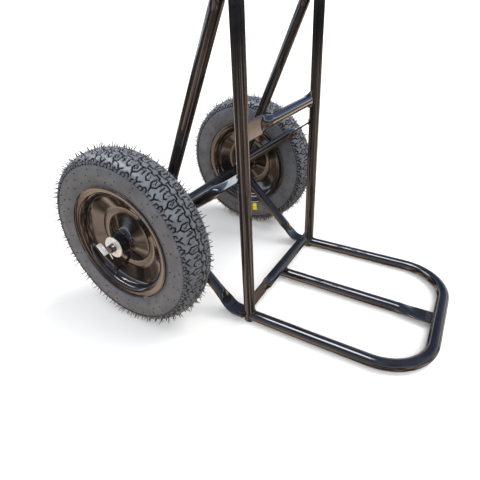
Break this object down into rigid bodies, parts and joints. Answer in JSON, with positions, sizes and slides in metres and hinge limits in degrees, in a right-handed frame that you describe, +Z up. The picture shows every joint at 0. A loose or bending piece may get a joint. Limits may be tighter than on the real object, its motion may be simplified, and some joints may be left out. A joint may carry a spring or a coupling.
{
  "type": "hand truck",
  "caption": "Upright tube hand truck with an open looped toe, triangulated side braces, a through axle and pneumatic wheels that turn on ball bearings.",
  "frame": {"origin": "on the ground in the middle of the footprint: halfway between the toe's front and the tyres' rear, and halfway between the wheels", "axes": "+Z up along the uprights, -Y towards the toe, +X across the axle; left is -X and right is +X, as seen by someone who faces the toe"},
  "size_m": [0.5886, 0.7276, 1.0826],
  "materials": {
    "black_enamel": "glossy black enamel",
    "rim_enamel": "glossy brown-black enamel",
    "tyre_rubber": "matt grey-black rubber",
    "butyl": "smooth black rubber",
    "grip_rubber": "matt black rubber",
    "zinc": "bright zinc plate",
    "steel": "ground bearing steel",
    "cap_plastic": "black plastic"
  },
  "bodies": {
    "frame": {"upright_left": "black_enamel", "upright_right": "black_enamel", "grip_left": "grip_rubber", "grip_right": "grip_rubber", "toe_loop": "black_enamel", "toe_middle_tube": "black_enamel", "base_crossbar": "black_enamel", "middle_crossbar": "black_enamel", "upper_crossbar": "black_enamel", "top_crossbar": "black_enamel", "side_brace_left": "black_enamel", "side_strut_left": "black_enamel", "side_brace_right": "black_enamel", "side_strut_right": "black_enamel", "axle_tube": "black_enamel", "axle_rod": "zinc", "washer_inner_left": "zinc", "washer_outer_left": "zinc", "split_pin_left": "zinc", "bearing_left_inboard_inner_race": "steel", "bearing_left_outboard_inner_race": "steel", "washer_inner_right": "zinc", "washer_outer_right": "zinc", "split_pin_right": "zinc", "bearing_right_inboard_inner_race": "steel", "bearing_right_outboard_inner_race": "steel"},
    "wheel_left": {"wheel_left_tyre": "tyre_rubber", "wheel_left_rim_outer": "rim_enamel", "wheel_left_rim_inner": "rim_enamel", "wheel_left_inner_tube": "butyl", "wheel_left_hub": "rim_enamel", "wheel_left_valve_stem": "butyl", "wheel_left_valve_cap": "cap_plastic", "wheel_left_inboard_outer_race": "steel", "wheel_left_outboard_outer_race": "steel", "wheel_left_inboard_balls_and_cage": "steel", "wheel_left_outboard_balls_and_cage": "steel"},
    "wheel_right": {"wheel_right_tyre": "tyre_rubber", "wheel_right_rim_outer": "rim_enamel", "wheel_right_rim_inner": "rim_enamel", "wheel_right_inner_tube": "butyl", "wheel_right_hub": "rim_enamel", "wheel_right_valve_stem": "butyl", "wheel_right_valve_cap": "cap_plastic", "wheel_right_inboard_outer_race": "steel", "wheel_right_outboard_outer_race": "steel", "wheel_right_inboard_balls_and_cage": "steel", "wheel_right_outboard_balls_and_cage": "steel"}
  },
  "joints": [
    {"name": "wheel_left_spin", "type": "hinge", "parent": "frame", "child": "wheel_left", "pos_m": [-0.237, 0.18625, 0.1775], "axis": [1, 0, 0], "continuous": true},
    {"name": "wheel_right_spin", "type": "hinge", "parent": "frame", "child": "wheel_right", "pos_m": [0.237, 0.18625, 0.1775], "axis": [1, 0, 0], "continuous": true}
  ]
}
